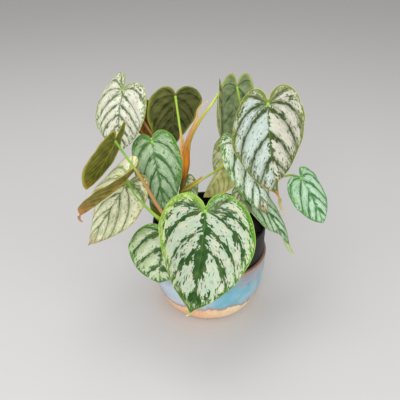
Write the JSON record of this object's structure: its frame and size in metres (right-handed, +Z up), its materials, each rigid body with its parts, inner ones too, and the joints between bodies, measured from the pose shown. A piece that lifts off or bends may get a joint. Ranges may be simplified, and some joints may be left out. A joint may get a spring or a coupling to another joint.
{
  "type": "potted plant",
  "caption": "Potted trailing philodendron with heart-shaped silver-and-green leaves on long petioles, in a black nursery pot that stands in a glazed ceramic cachepot",
  "frame": {"origin": "the middle of the cachepot's flat foot, on the surface it stands on", "axes": "+Z is up, -Y is the front, where the largest leaf hangs over the pot, and +X is the plant's right side seen from the front"},
  "size_m": [0.2521, 0.1929, 0.2489],
  "materials": {
    "cachepot_glaze": "glossy blue and turquoise glaze over a bare tan foot band",
    "nursery_plastic": "black, satin",
    "potting_mix": "dark, crumbly and damp",
    "stem_centre": "lime to salmon green, satin, with an orange-brown sheath",
    "stem_left": "lime to salmon green, satin",
    "stem_front": "lime green, satin",
    "stem_right": "lime to salmon green, satin",
    "dry_sheath": "dry, salmon to brown, matte",
    "leaf_front": "satin silver-white blotches on deep green, bright green margin",
    "leaf_right_high": "satin silver-white with olive-green vein bands",
    "leaf_right_back": "satin, its grey-green underside seen",
    "leaf_edge_on": "satin, its dark green underside seen",
    "leaf_right_middle": "satin mint-white with green veins and a tan tip",
    "leaf_right_low": "satin mint with green veins",
    "leaf_far_right": "satin mint green with paler patches",
    "leaf_left_high": "satin cream-white with green veins",
    "leaf_back_dark": "satin, its dark olive underside seen",
    "leaf_centre_left": "satin mid green with pale bands and dark veins",
    "leaf_left_olive": "satin, its olive underside seen",
    "leaf_left_brown": "satin pale yellow above, brown-orange underside",
    "leaf_left_pale": "satin cream-green with dark veins and a tan margin",
    "leaf_left_low": "satin mint with dark curved veins",
    "leaf_centre_olive": "satin, its olive-yellow underside seen",
    "leaf_behind_right": "satin, mottled pale olive",
    "leaf_low_pale": "satin, pinkish white",
    "leaf_small_middle": "satin, pale with green stripes",
    "leaf_copper": "satin, copper brown",
    "leaf_shade": "satin, dark olive-brown"
  },
  "bodies": {
    "root": {"cachepot": "cachepot_glaze", "nursery_pot": "nursery_plastic", "soil": "potting_mix", "shoot_centre": "stem_centre", "shoot_left": "stem_left", "shoot_front": "stem_front", "shoot_right": "stem_right", "cataphyll": "dry_sheath", "leaf_front": "leaf_front", "leaf_right_high": "leaf_right_high", "leaf_right_back": "leaf_right_back", "leaf_edge_on": "leaf_edge_on", "leaf_right_middle": "leaf_right_middle", "leaf_right_low": "leaf_right_low", "leaf_far_right": "leaf_far_right", "leaf_left_high": "leaf_left_high", "leaf_back_dark": "leaf_back_dark", "leaf_centre_left": "leaf_centre_left", "leaf_left_olive": "leaf_left_olive", "leaf_left_brown": "leaf_left_brown", "leaf_left_pale": "leaf_left_pale", "leaf_left_low": "leaf_left_low", "leaf_centre_olive": "leaf_centre_olive", "leaf_behind_right": "leaf_behind_right", "leaf_low_pale": "leaf_low_pale", "leaf_small_middle": "leaf_small_middle", "leaf_copper": "leaf_copper", "leaf_shade": "leaf_shade"}
  },
  "joints": []
}
